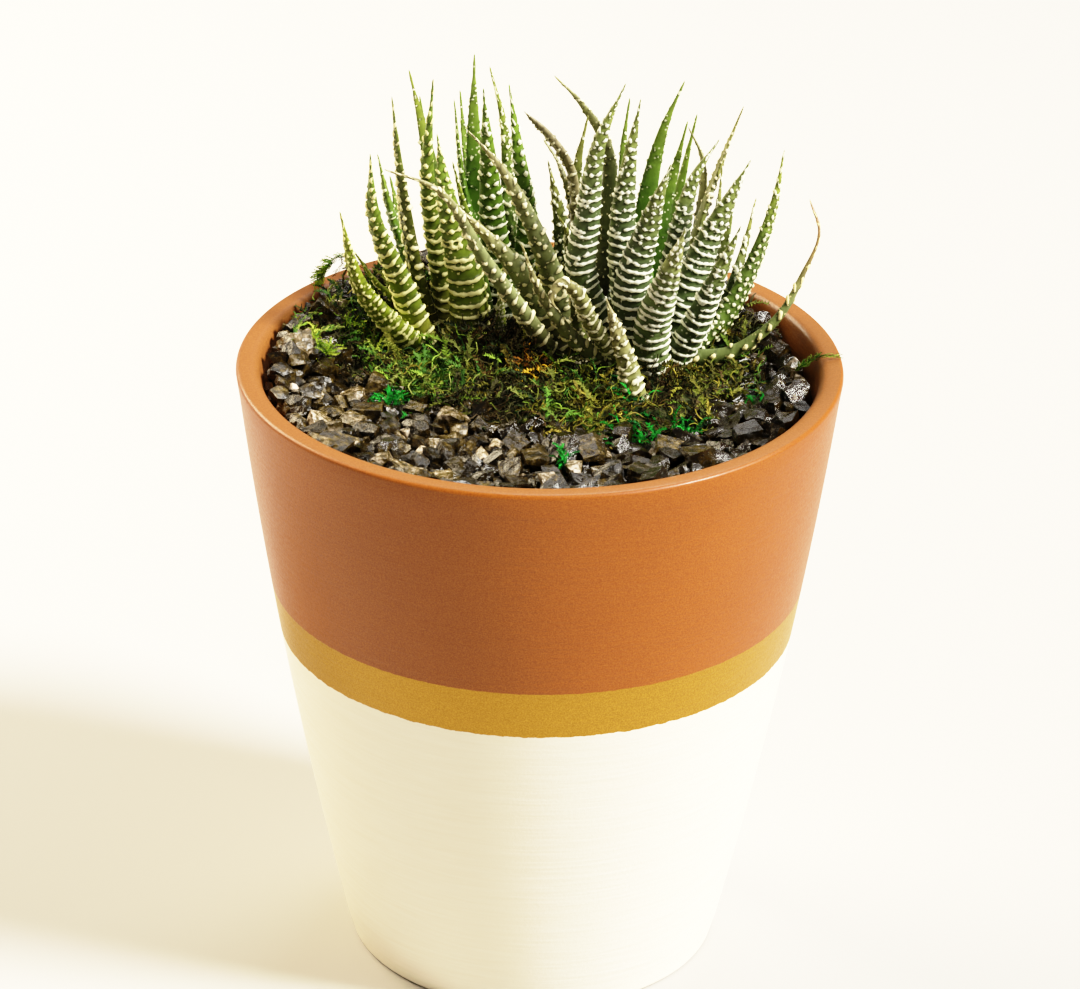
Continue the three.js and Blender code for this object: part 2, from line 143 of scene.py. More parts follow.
def add_node(tree, kind, inputs=None, output=0, **settings):
    """Adds a shader node with its settings and links, and returns the output that is asked for."""
    node = tree.nodes.new("ShaderNode" + kind)
    for name, value in settings.items():
        setattr(node, name, value)
    set_inputs(node, inputs or {})
    return node.outputs[output]


def as_mesh(name, tool):
    """The mesh of a finished bmesh."""
    mesh = bpy.data.meshes.new(name)
    tool.to_mesh(mesh)
    tool.free()
    return mesh


def new_object(name, tool, material):
    """A piece made from a finished bmesh, at the origin."""
    mesh = as_mesh(name, tool)
    mesh.materials.append(material)
    piece = bpy.data.objects.new(name, mesh)
    scene.collection.objects.link(piece)
    return piece


# Matt painted board, so smooth and dull that it shows nothing but the pot's soft shadow
floor_radius = 4
floor_sides = 64
floor_paint, _, shader = new_material("pale_matt_floor")
set_inputs(shader, {"Base Color": linear("#BCB7AE"), "Roughness": 0.8})
floor_tool = bmesh.new()
bmesh.ops.create_circle(floor_tool, cap_ends=True, segments=floor_sides, radius=floor_radius)
floor = new_object("floor", floor_tool, floor_paint)

# Pot. One tapered pot of fired terracotta, turned, with a rounded lip, a foot ring and a drain hole.
# Its outside is painted by hand: terracotta brown above, a masked gold band, and cream below. The top
# of the lip and the inside are bare fired clay.
pot_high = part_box("pot")[1]
pot_height = pot_high[2]
rim_radius = pot_high[0]
foot_radius = 37.6 * mm
wall_bow = 1.85 * mm
wall_thickness = 4.8 * mm
floor_thickness = 8 * mm
drain_radius = 5.5 * mm
foot_recess = 1.2 * mm
foot_ring_width = 7 * mm
foot_chamfer = 1 * mm
outer_lip = 0.9 * mm
inner_lip = 1.9 * mm
gold_bottom = 70.9 * mm
gold_top = 81.3 * mm


def outer_radius(z):
    share = z / pot_height
    return foot_radius + (rim_radius - foot_radius) * share + 4 * wall_bow * share * (1 - share)


def inner_radius(z):
    return outer_radius(z) - wall_thickness


def arc(centre_radius, centre_z, radius, start, turn, steps=5):
    """Points of a profile's arc, from the start angle in degrees."""
    angles = [math.radians(start + turn * step / steps) for step in range(steps + 1)]
    return [(centre_radius + radius * math.cos(a), centre_z + radius * math.sin(a)) for a in angles]


def turned(profile, segments):
    """A closed solid turned from a closed profile of radius and height."""
    tool = bmesh.new()
    corners = [tool.verts.new((radius, 0, z)) for radius, z in profile]
    for corner, following in zip(corners, corners[1:] + corners[:1]):
        tool.edges.new((corner, following))
    bmesh.ops.spin(tool, geom=tool.verts[:] + tool.edges[:], axis=(0, 0, 1), cent=(0, 0, 0),
                   angle=math.tau, steps=segments, use_merge=True)
    bmesh.ops.remove_doubles(tool, verts=tool.verts, dist=0.001 * mm)
    bmesh.ops.recalc_face_normals(tool, faces=tool.faces)
    for face in tool.faces:
        face.smooth = True
    return tool


wall_steps = 30
wall_low = foot_chamfer
wall_high = pot_height - outer_lip
floor_ring = foot_radius - foot_ring_width
wall_levels = [wall_low + (wall_high - wall_low) * step / wall_steps for step in range(wall_steps)]
inner_low = floor_thickness + inner_lip
inner_high = pot_height - inner_lip
inner_levels = [inner_high + (inner_low - inner_high) * step / wall_steps for step in range(1, wall_steps)]
pot_profile = [
    (drain_radius, foot_recess),
    (floor_ring, foot_recess),
    (floor_ring + foot_recess, 0),
    *arc(foot_radius - foot_chamfer, foot_chamfer, foot_chamfer, 270, 90),
    *((outer_radius(z), z) for z in wall_levels[1:]),
    *arc(rim_radius - outer_lip, pot_height - outer_lip, outer_lip, 0, 90),
    *arc(rim_radius - wall_thickness + inner_lip, pot_height - inner_lip, inner_lip, 90, 90),
    *((inner_radius(z), z) for z in inner_levels),
    *arc(inner_radius(floor_thickness) - inner_lip, inner_low, inner_lip, 0, -90),
    (drain_radius, floor_thickness),
]

# Hand-painted satin paint on terracotta: the fired clay's grain shows through the brown, the gold is
# a bronze-powder paint, and the cream keeps the brush's strokes, which run round the pot. Flakes and
# grains of about 0.3 and 0.6 mm are coarser than the real ones, so that they show.
pot_paint, tree, shader = new_material("hand_painted_terracotta")
place = add_node(tree, "TexCoord", output="Object")
level = add_node(tree, "SeparateXYZ", {0: place}, output="Z")
edge_waver = add_node(tree, "TexNoise", {"Vector": place, "Scale": 0.6 / mm, "Detail": 5})
edge_blur = 0.12 * mm
# A Mix node for colours takes its share at 0 and the colours at 6 and 7, and gives the mix at 2
of_colours = {"output": 2, "data_type": "RGBA"}


def share_above(edge, unevenness):
    """1 above a hand-painted edge and 0 below it. The edge wavers by as much as the unevenness."""
    wavering = add_node(tree, "Math", {0: edge_waver, 1: unevenness, 2: level},
                        operation="MULTIPLY_ADD")
    middle = edge + unevenness / 2
    return add_node(tree, "MapRange", {
        "Value": wavering, "From Min": middle, "From Max": middle + edge_blur})


brown_share = share_above(gold_top, 0.5 * mm)
gold_share = share_above(gold_bottom, 0.9 * mm)
bare = add_node(tree, "Attribute", output="Fac", attribute_name="bare")

brush_place = add_node(tree, "Mapping", {"Vector": place, "Scale": (1, 1, 18)})
brush = add_node(tree, "TexNoise", {"Vector": brush_place, "Scale": 0.075 / mm, "Detail": 6})
wash = add_node(tree, "TexNoise", {"Vector": place, "Scale": 0.03 / mm, "Detail": 3})
grain = add_node(tree, "TexNoise", {"Vector": place, "Scale": 1.6 / mm, "Detail": 3})
flake = add_node(tree, "TexNoise", {"Vector": place, "Scale": 3.6 / mm, "Detail": 1})
flake_share = add_node(tree, "MapRange", {"Value": flake, "From Min": 0.3, "From Max": 0.75})

paints = {}
for name, share, one_tone, other_tone in (
        ("brown", wash, "#793D12", "#894816"), ("brown_flake", wash, "#8F511B", "#9B5B20"),
        ("gold", flake_share, "#966F24", "#B28834"), ("cream", brush, "#ECDFC5", "#F6EDD9"),
        ("clay", flake_share, "#744622", "#88582C")):
    paints[name] = add_node(tree, "Mix", {
        0: share, 6: linear(one_tone), 7: linear(other_tone)}, **of_colours)
flaked_brown = add_node(tree, "Mix", {
    0: flake_share, 6: paints["brown"], 7: paints["brown_flake"]}, **of_colours)
surface = paints["cream"]
for share, cover in ((gold_share, paints["gold"]), (brown_share, flaked_brown), (bare, paints["clay"])):
    surface = add_node(tree, "Mix", {0: share, 6: surface, 7: cover}, **of_colours)

gold_only = add_node(tree, "Math", {0: gold_share, 1: brown_share}, operation="SUBTRACT")
gold_metal = add_node(tree, "Math", {0: gold_only, 1: 0.55}, operation="MULTIPLY")
dullness = add_node(tree, "MapRange", {
    "Value": grain, "From Min": 0.3, "From Max": 0.7, "To Min": 0.38, "To Max": 0.5})
brush_bump = add_node(tree, "Bump", {"Height": brush, "Strength": 0.5, "Distance": 0.18 * mm})
grain_bump = add_node(tree, "Bump", {
    "Height": grain, "Strength": 0.35, "Distance": 0.08 * mm, "Normal": brush_bump})
set_inputs(shader, {
    "Base Color": surface, "Metallic": gold_metal, "Roughness": dullness, "Specular IOR Level": 0.25,
    "Coat Weight": 0.1, "Coat Roughness": 0.16, "Normal": grain_bump})

pot_segments = 192
paint_reach = 0.4 * outer_lip
pot_tool = turned(pot_profile, pot_segments)
bare_layer = pot_tool.verts.layers.float.new("bare")
for vertex in pot_tool.verts:
    inward = outer_radius(vertex.co.z) - vertex.co.xy.length
    vertex[bare_layer] = 1 if inward > paint_reach else 0
pot = new_object("painted_pot", pot_tool, pot_paint)
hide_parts("pot")
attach(pot, "root")

# Soil. The damp dark potting mix that fills the pot under the gravel, seen only through the drain
# hole. It is peat and bark, matt and crumbly, with white grains of perlite.
soil_mix, tree, shader = new_material("damp_potting_mix")
place = add_node(tree, "TexCoord", output="Object")
crumbs = add_node(tree, "TexNoise", {"Vector": place, "Scale": 0.6 / mm, "Detail": 6})
perlite = add_node(tree, "TexVoronoi", {"Vector": place, "Scale": 0.22 / mm})
perlite_share = add_node(tree, "MapRange", {
    "Value": perlite, "From Min": 0.18, "From Max": 0.24, "To Min": 1, "To Max": 0})
peat = add_node(tree, "Mix", {
    0: crumbs, 6: linear("#1F150D"), 7: linear("#4A3524")}, **of_colours)
mixed = add_node(tree, "Mix", {
    0: perlite_share, 6: peat, 7: linear("#CFC8BC")}, **of_colours)
crumb_bump = add_node(tree, "Bump", {"Height": crumbs, "Strength": 0.8, "Distance": 1 * mm})
set_inputs(shader, {"Base Color": mixed, "Roughness": 0.95, "Normal": crumb_bump})
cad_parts["soil"].material_slots[0].material = soil_mix

# Gravel. A top dressing of crushed dark stone, 2 to 6 mm, heaped loose round the moss and against
# the wall. The chips are broken, not worn: flat faces, sharp edges, damp and glossy on the right.
gravel_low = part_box("gravel")[0][2]
gravel_top = 117.5 * mm
moss_centre = Vector((-2, 14)) * mm
moss_edge = [Vector(point) * mm for point in (
    (47, 18), (40, 31), (26, 42), (8, 49), (-14, 48), (-32, 39), (-43, 28), (-48, 16),
    (-38, 3), (-22, -6), (-6, -17), (12, -20), (29, -20), (40, -6),
)]


def smooth_step(value, low, high):
    share = min(1, max(0, (value - low) / (high - low)))
    return share * share * (3 - 2 * share)


# The bed lies level in the middle and is banked up against the wall, highest at the back left.
bed_sink = 3 * mm
bank_inside = 36 * mm
bank_outside = 52 * mm
bank_rise = 2.5 * mm
back_start = -2 * mm
back_end = 28 * mm
back_rise = 5.5 * mm


def bed_level(x, y):
    """Height of the bed that the loose chips lie on."""
    outward = smooth_step(math.hypot(x, y), bank_inside, bank_outside)
    behind = smooth_step(y - 0.35 * x, back_start, back_end)
    return gravel_top - bed_sink + outward * (bank_rise + back_rise * behind)


def stone_chip(rng):
    """A broken chip about 1 across: a block with its corners split off along flat faces."""
    splits = 7
    tool = bmesh.new()
    bmesh.ops.create_cube(tool, size=1)
    for _ in range(splits):
        slope = Vector((rng.gauss(0, 1), rng.gauss(0, 1), rng.gauss(0, 1))).normalized()
        cut = bmesh.ops.bisect_plane(tool, geom=tool.verts[:] + tool.edges[:] + tool.faces[:],
                                     plane_co=slope * rng.uniform(0.34, 0.5), plane_no=slope,
                                     clear_outer=True)
        rim = [item for item in cut["geom_cut"] if isinstance(item, bmesh.types.BMEdge)]
        bmesh.ops.holes_fill(tool, edges=rim, sides=0)
    bmesh.ops.remove_doubles(tool, verts=tool.verts, dist=0.03)
    bmesh.ops.recalc_face_normals(tool, faces=tool.faces)
    return as_mesh("stone_chip", tool)


def rotation(x, y, z):
    """A turn about x, then y, then z."""
    return Euler((x, y, z)).to_matrix().to_4x4()


def add_copy(tool, mesh, matrix, layers, values):
    """Adds a placed copy of a small mesh, with one value for each of the layers."""
    mesh.transform(matrix)
    before = len(tool.verts)
    tool.from_mesh(mesh)
    mesh.transform(matrix.inverted())
    tool.verts.ensure_lookup_table()
    for vertex in tool.verts[before:]:
        for layer, value in zip(layers, values):
            vertex[layer] = value


def bearing_of(offset):
    return math.atan2(offset.y, offset.x) % math.tau


moss_corners = sorted((point - moss_centre for point in moss_edge), key=bearing_of)
moss_bearings = [bearing_of(corner) for corner in moss_corners]


def moss_reach(bearing):
    """How far the moss reaches from its middle along a bearing."""
    after = bisect.bisect(moss_bearings, bearing) % len(moss_corners)
    low, high = moss_bearings[after - 1], moss_bearings[after]
    mix = ((bearing - low) % math.tau) / ((high - low) % math.tau)
    return moss_corners[after - 1].length * (1 - mix) + moss_corners[after].length * mix


def moss_share(x, y):
    """How far out a place lies from the moss's middle: 0 there, 1 at its ragged edge."""
    offset = Vector((x, y)) - moss_centre
    return offset.length / moss_reach(bearing_of(offset))


rng = random.Random(5)
chip_shape_count = 16
chip_shapes = [stone_chip(rng) for _ in range(chip_shape_count)]
bed_clearance = 0.3 * mm
bed_reach = inner_radius(gravel_top) - bed_clearance
bed_ring_count = 12
bed_segments = 96
bed_rings = [bed_reach * step / bed_ring_count for step in range(bed_ring_count, -1, -1)]
gravel_tool = turned([(0, gravel_low), (inner_radius(gravel_low) - bed_clearance, gravel_low),
                      *((radius, gravel_top) for radius in bed_rings)], bed_segments)
for vertex in gravel_tool.verts:
    if vertex.co.z > gravel_low + 1 * mm:
        vertex.co.z = bed_level(vertex.co.x, vertex.co.y)
tone_layer = gravel_tool.verts.layers.float.new("tone")
wet_layer = gravel_tool.verts.layers.float.new("wet")

# Each chip drops on the lowest of a few places. The heap keeps the height of the stones that lie in
# each cell of a grid. Chips further right are darker and damper. The first ones lie lowest, under the
# others, and are darkened as painted shade. The sizes of small and of large chips are in mm.
chip_count = 1900
small_chips = (2.4, 4.4)
large_chips = (4.4, 6.2)
small_share = 0.8
places_tried = 7
hidden_by_moss = 0.86
wall_reach = inner_radius(gravel_top) - 0.4 * mm
darkness = 1.07
darkening_span = 350 * mm
damp_span = 130 * mm
cell = 0.6 * mm
heap = {}
for index in range(chip_count):
    size = rng.uniform(*(small_chips if rng.random() < small_share else large_chips)) * mm
    best = None
    tries = 0
    while tries < places_tried:
        radius = (wall_reach - size * 0.42) * math.sqrt(rng.random())
        around = rng.uniform(0, math.tau)
        x, y = radius * math.cos(around), radius * math.sin(around)
        if moss_share(x, y) < hidden_by_moss:
            continue
        tries += 1
        reach = int(size * 0.4 / cell)
        column, row = round(x / cell), round(y / cell)
        cells = [(column + i, row + j) for i in range(-reach, reach + 1) for j in range(-reach, reach + 1)
                 if i * i + j * j <= reach * reach + 1]
        level = bed_level(x, y)
        support = sum(heap.get(c, level) for c in cells) / len(cells)
        if best is None or support - level < best[0] - best[1]:
            best = (support, level, x, y, cells)
    support, level, x, y, cells = best
    height = size * rng.uniform(0.5, 0.8)
    # Painted shade: the first chips lie lowest, under the later ones, and their tone is darkened
    buried_shade = 0.35 * max(0, 1 - 2 * index / chip_count)
    for c in cells:
        heap[c] = max(heap.get(c, level), support + height * 0.75)
    tilt = rotation(rng.gauss(0, 0.3), rng.gauss(0, 0.3), rng.uniform(0, math.tau))
    stretch = Matrix.Diagonal((size, size * rng.uniform(0.65, 0.95), height, 1))
    shift = Matrix.Translation((x, y, support + height * 0.35))
    damp = min(1, max(0, 0.62 + x / damp_span + rng.gauss(0, 0.3)))
    shape = rng.choice(chip_shapes)
    pale = rng.random() ** 3 * (1.05 if size < 4 * mm else 0.7)
    add_copy(gravel_tool, shape, shift @ tilt @ stretch, (tone_layer, wet_layer),
             (pale - darkness - buried_shade - x / darkening_span, damp))

# Crushed dark stone with pale veins: dull where it is dry, with a thin film of water on the damp chips
# that darkens them and glints. Its grit is drawn at 0.5 mm, coarser than life.
crushed_stone, tree, shader = new_material("crushed_dark_stone")
place = add_node(tree, "TexCoord", output="Object")
tone = add_node(tree, "Attribute", output="Fac", attribute_name="tone")
wet = add_node(tree, "Attribute", output="Fac", attribute_name="wet")
veins = add_node(tree, "TexNoise", {
    "Vector": place, "Scale": 0.7 / mm, "Detail": 7, "Roughness": 0.65})
grit = add_node(tree, "TexNoise", {"Vector": place, "Scale": 2 / mm, "Detail": 4})
breaks = add_node(tree, "TexVoronoi", {"Vector": place, "Scale": 0.5 / mm})

tone_span = 1.3
tone_stops = (
    (0.15, "#0E0A03"), (0.5, "#2C2109"), (0.8, "#54451D"), (1.05, "#88765A"), (1.25, "#D8C4AA"),
)
mottled = add_node(tree, "Math", {0: veins, 1: 2.5, 2: tone}, operation="MULTIPLY_ADD")
ramp_place = add_node(tree, "Math", {0: mottled, 1: tone_span}, operation="DIVIDE")
stone = add_node(tree, "ValToRGB", {"Fac": ramp_place})
tone_ramp = stone.node.color_ramp
for position, _ in tone_stops[2:]:
    tone_ramp.elements.new(position / tone_span)
for element, (position, code) in zip(tone_ramp.elements, tone_stops):
    element.position = position / tone_span
    element.color = linear(code)
dampened = add_node(tree, "MapRange", {"Value": wet, "To Min": 0, "To Max": 0.72})
soaked = add_node(tree, "Mix", {
    0: dampened, 6: stone, 7: linear("#171005")}, **of_colours)
water_film = add_node(tree, "Math", {0: grit, 1: 0.7, 2: wet}, operation="MULTIPLY_ADD")
dullness = add_node(tree, "MapRange", {
    "Value": water_film, "From Min": 0.4, "From Max": 1.0, "To Min": 0.28, "To Max": 0.04})
break_bump = add_node(tree, "Bump", {"Height": breaks, "Strength": 0.7, "Distance": 0.5 * mm})
vein_bump = add_node(tree, "Bump", {
    "Height": veins, "Strength": 0.6, "Distance": 0.5 * mm, "Normal": break_bump})
grit_bump = add_node(tree, "Bump", {
    "Height": grit, "Strength": 0.45, "Distance": 0.2 * mm, "Normal": vein_bump})
set_inputs(shader, {"Base Color": soaked, "Roughness": dullness, "Normal": grit_bump})

gravel = new_object("gravel_chips", gravel_tool, crushed_stone)
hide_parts("gravel")
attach(gravel, "root")

# Haworthia rosettes. Stiff pointed leaves grow from a short stem that stands in the soil. Their keeled
# outer faces carry white warts, which run together in raised bands across the leaf and part into
# dots towards the tip. The inner faces are flatter and plainer, with teeth along the margins.
stem_low = 98 * mm
stem_top = 119.5 * mm
leaf_root = stem_top - 1.5 * mm
outer_depth = 0.34
inner_depth = 0.14
least_width = 0.3 * mm
least_depth = 0.2 * mm
side_gap = 0.3 * mm
least_outer_sides = 12
inner_sides = 8
station_gap = 0.4 * mm
wart_height = 0.5 * mm
wart_foot = -0.16 * mm
wart_crown = 0.3 * mm
full_relief_width = 1.2 * mm
bead_gap = 0.66
tip_bluntness = 24
bands_near = 3
dot_reach = 0.4 * mm
tooth_width = 0.04
tooth_fall = 1.6 * mm

# Each kind of leaf: skin at the base, in the middle and at the tip, warts, how long it stays full
# before it tapers, the pitch and half the width of its bands in mm, where along the leaf the bands
# part into dots, how often a band is broken, and dots per square centimetre of skin. The base skin of
# most kinds is darker than the middle as painted shade, where the leaves crowd round the stem.
leaf_kinds = {
    "lime": ("#8A8638", "#5A6A20", "#6C8430", "#F2EBA2", 2, 2.7, 0.5, 0.5, 0.25, 7),
    "lime_fine": ("#7E8E2A", "#849428", "#9CAA3A", "#FAF6A4", 1.5, 1.7, 0.38, 0.4, 0.4, 14),
    "lime_dots": ("#443E20", "#50561E", "#6C7A34", "#F2E8AC", 2, 2.4, 0.66, 0.05, 0.5, 10),
    "vivid": ("#26380F", "#46601A", "#66802A", "#F2F2CE", 2.4, 2.9, 0.5, 0.45, 0.1, 8),
    "vivid_dots": ("#36421E", "#52662A", "#7E8A34", "#F4F2C4", 2.2, 2.0, 0.44, 0.05, 0.4, 12),
    "plain": ("#26380F", "#466420", "#6C8030", "#ECF2C0", 2.2, 2.2, 0.34, 0.0, 1.0, 16),
    "zebra": ("#3E4628", "#485632", "#727C3E", "#F4F4D8", 2.5, 2.2, 0.4, 0.62, 0.25, 8),
    "zebra_split": ("#5C6A3C", "#68784A", "#8E9256", "#F8F6DA", 2.8, 2.2, 0.44, 0.66, 0.6, 14),
    "zebra_dots": ("#262C14", "#44522A", "#7A7C3E", "#F2F0CE", 2.4, 2.2, 0.48, 0.25, 0.5, 12),
    "old": ("#545230", "#747A4E", "#90885A", "#EEE4B0", 2.2, 3.0, 0.5, 0.3, 0.6, 8),
    "tan": ("#4C4E2A", "#5E6432", "#8A8A4A", "#F2E8BE", 2.2, 2.0, 0.45, 0.2, 0.5, 12),
    "pale": ("#84844E", "#84864E", "#968C5E", "#EEE6BA", 4.5, 2.4, 0.42, 0.6, 0.5, 8),
    # The brown kind's dark base and middle skin are painted shade for the gap between the zebra leaves
    "brown": ("#241F14", "#3E4424", "#A09E6C", "#E6DEB4", 2.6, 2.6, 0.45, 0.0, 0.9, 14),
    "blunt": ("#3A3424", "#827A56", "#8C8260", "#D8D0A8", 16, 2.6, 0.4, 0.0, 0.9, 8),
    # The beaded kind is paler than the pup's real skin: painted light, as the pup stands in the shade of
    # the leaves beside it
    "beaded": ("#7E8A38", "#9CA850", "#BCC46C", "#FFFAD2", 2, 1.2, 0.34, 0.1, 0.2, 30),
    "whip": ("#3E4A24", "#646E3E", "#927048", "#F4E4A0", 1.2, 3.5, 0.66, -0.3, 0.2, 3),
}

# Each rosette: the middle of its stem and the stem's radius in mm, and its leaves. Each leaf: the
# bearing of its outer face in degrees, its width in mm, its kind, and the points in mm that its middle
# line passes from the stem to the tip.
rosettes = {
    "rosette_left": ((-20, 25), 6.5, [
        (232, 8, "lime_fine", (-26, 18, 123), (-30, 16, 128), (-36, 14, 137), (-40, 13, 153)),
        (185, 4.2, "lime_fine", (-25, 26, 124), (-33, 26, 132), (-38, 26, 139)),
        (238, 6.9, "lime", (-24, 20, 124), (-28, 18, 136), (-33, 16, 150), (-34, 14, 165)),
        (175, 6, "plain", (-24, 27, 125), (-27, 27, 138), (-30, 27, 147), (-33, 26, 160)),
        (205, 6, "lime_dots", (-22, 24, 124), (-25, 22, 138), (-28, 22, 157), (-30, 22, 174)),
        (110, 5.4, "vivid_dots", (-20, 29, 124), (-21, 31, 146), (-24, 33, 162), (-27, 34, 175)),
        (95, 5, "plain", (-19, 30, 124), (-21, 35, 138), (-23, 38, 154), (-25, 40, 167)),
        (255, 5.6, "lime", (-19, 26, 126), (-20, 27, 134), (-23, 28, 154), (-22, 29, 175)),
        (280, 8.6, "lime", (-15, 21, 124), (-15, 20, 135), (-19, 20, 153), (-21, 20, 167)),
        (130, 5.6, "lime", (-24, 30, 124), (-28, 36, 138), (-31, 39, 150)),
    ]),
    "rosette_rear": ((-8, 34), 5.5, [
        (230, 4.4, "vivid_dots", (-11, 31, 124), (-13, 29, 137), (-16, 27, 150), (-18, 25, 159)),
        (175, 4.2, "plain", (-11, 34, 124), (-13, 34, 138), (-16, 35, 152), (-18, 36, 168)),
        (130, 4.6, "plain", (-10, 36, 124), (-13, 40, 140), (-16, 44, 157), (-17, 46, 166)),
        (95, 5.8, "plain", (-10, 36, 124), (-13, 36, 142), (-14, 37, 161), (-14, 38, 177)),
        (268, 6.6, "vivid", (-8, 32, 124), (-10, 30, 145), (-11, 28, 160), (-12, 27, 174)),
        (300, 4.6, "vivid_dots", (-6, 36, 124), (-7, 40, 145), (-8, 42, 160), (-11, 44, 172)),
        (292, 5.4, "vivid", (-5, 35, 124), (-3, 35, 142), (-5, 36, 157), (-7, 37, 171)),
        (100, 5.6, "vivid", (-9, 38, 123), (-10, 43, 136), (-12, 47, 148)),
    ]),
    "rosette_centre": ((6, 16), 5.5, [
        (248, 4.3, "old", (2, 12, 124), (-2, 10, 131), (-11, 8, 145), (-20, 7, 160), (-31, 6, 165)),
        (252, 6.4, "old", (3, 16, 124), (-4, 15, 139), (-12, 14, 149), (-18, 14, 155)),
        (262, 5.6, "old", (5, 19, 126), (0, 20, 143), (-8, 21, 159), (-15, 22, 167)),
        (285, 4, "tan", (8, 14, 124), (7, 13, 133), (5, 13, 142)),
    ]),
    "rosette_back": ((9, 30), 5, [
        (200, 3.6, "blunt", (8, 28, 124), (7, 30, 138), (6, 31, 155), (1, 31, 163), (-4, 30, 168)),
        (130, 3.4, "brown", (8, 32, 124), (6, 35, 146), (3, 38, 154), (0, 40, 158)),
        (262, 5.4, "zebra_dots", (7, 27, 124), (5, 26, 134), (4, 25, 145), (1, 24, 160)),
        (90, 4.4, "zebra_dots", (9, 33, 124), (7, 34, 142), (7, 35, 154), (9, 36, 165)),
        (70, 4.6, "brown", (11, 33, 124), (13, 38, 137), (13, 42, 155), (8, 43, 164), (2, 42, 171)),
        (258, 4.8, "zebra_dots", (8, 26, 124), (6, 23, 139), (5, 21, 146), (3, 20, 150)),
        (80, 5, "zebra", (11, 34, 123), (14, 40, 136), (16, 45, 148)),
    ]),
    "rosette_right": ((22, 13), 7.5, [
        (248, 7.4, "zebra", (18, 8, 122), (12, 10, 131), (8, 10, 142), (9, 10, 154), (11, 11, 169),
         (16, 13, 181)),
        (105, 4.8, "plain", (20, 18, 124), (17, 21, 147), (16, 22, 164), (17, 23, 174)),
        (265, 7.2, "zebra", (21, 14, 124), (17, 13, 138), (16, 13, 152), (17, 14, 164), (19, 15, 177)),
        (85, 5.8, "plain", (22, 19, 124), (20, 25, 137), (21, 28, 150), (24, 29, 165), (28, 30, 175)),
        (75, 5.2, "plain", (24, 20, 124), (24, 29, 143), (27, 34, 156), (29, 36, 164)),
        (60, 4.4, "plain", (25, 21, 124), (26, 32, 140), (29, 38, 155), (31, 40, 164)),
        (40, 4.4, "brown", (26, 19, 124), (31, 27, 142), (32, 32, 157), (29, 33, 164)),
        (262, 8.6, "zebra", (22, 9, 122), (19, 7, 130), (18, 6, 141), (21, 6, 154), (25, 6, 167)),
        (278, 6.6, "zebra", (24, 16, 124), (27, 19, 144), (30, 22, 157), (35, 24, 165)),
        (20, 4.6, "tan", (27, 17, 124), (31, 25, 145), (36, 30, 159), (40, 32, 169)),
        (350, 4.6, "zebra_dots", (28, 16, 124), (32, 22, 137), (35, 26, 150), (36, 28, 158)),
        (288, 8.2, "zebra", (26, 12, 123), (29, 13, 134), (32, 14, 145), (37, 15, 156), (41, 16, 164)),
        (330, 4.8, "zebra_dots", (29, 17, 123), (36, 22, 129), (40, 27, 138), (43, 30, 150)),
        (292, 7, "zebra", (26, 9, 123), (30, 7, 131), (34, 5, 142), (39, 4, 155)),
        (312, 5.8, "vivid_dots", (29, 14, 123), (36, 18, 128), (42, 21, 139), (46, 23, 151),
         (48, 24, 163)),
        (300, 4.4, "whip", (29, 10, 123), (38, 10, 125), (47, 11, 132), (52, 13, 141), (55, 15, 149),
         (53, 18, 155)),
        (268, 7.8, "zebra_split", (22, 7, 123), (22, 4, 133), (25, 0, 146), (28, -2, 157)),
        (262, 5, "pale", (20.5, 2, 118.5), (20, -5, 119.5), (18.6, -5.5, 123.5), (17.4, -4.5, 128),
         (15.4, -3.5, 134), (12.7, -2, 142)),
        (245, 4.4, "old", (15, 9, 122), (7, 6, 129), (0, 4, 140), (-4, 3, 151)),
        (250, 4, "pale", (16, 7, 124), (10, 4, 134), (7, 3, 141), (4, 2, 143), (2, 1, 140),
         (4, 1, 137)),
        (55, 5.6, "zebra", (28, 20, 123), (35, 29, 134), (39, 35, 147)),
    ]),
    "pup": ((-8, 20), 1.3, [
        (265, 2.8, "beaded", (-8, 20, 122), (-8, 19, 131), (-8, 18, 139)),
    ]),
}


def even_path(knots, gap):
    """Points spread evenly along a smooth curve through the knots, and the curve's length."""
    steps = 40
    ends = [2 * knots[0] - knots[1], *knots, 2 * knots[-1] - knots[-2]]
    dense = [knots[0]]
    for before, start, stop, after in zip(ends, ends[1:], ends[2:], ends[3:]):
        lead, span, trail = (
            (b - a).length ** 0.5 for a, b in ((before, start), (start, stop), (stop, after)))
        leave = ((start - before) / lead - (stop - before) / (lead + span) + (stop - start) / span) * span
        arrive = ((stop - start) / span - (after - start) / (span + trail) + (after - stop) / trail) * span
        dense += interpolate_bezier(start, start + leave / 3, stop - arrive / 3, stop, steps)[1:]
    marks = [0.0]
    for start, stop in zip(dense, dense[1:]):
        marks.append(marks[-1] + (stop - start).length)
    length = marks[-1]
    count = round(length / gap)
    points = []
    for index in range(count + 1):
        mark = length * index / count
        after = min(max(bisect.bisect_left(marks, mark), 1), len(marks) - 1)
        mix = (mark - marks[after - 1]) / (marks[after] - marks[after - 1])
        points.append(dense[after - 1].lerp(dense[after], mix))
    return points, length


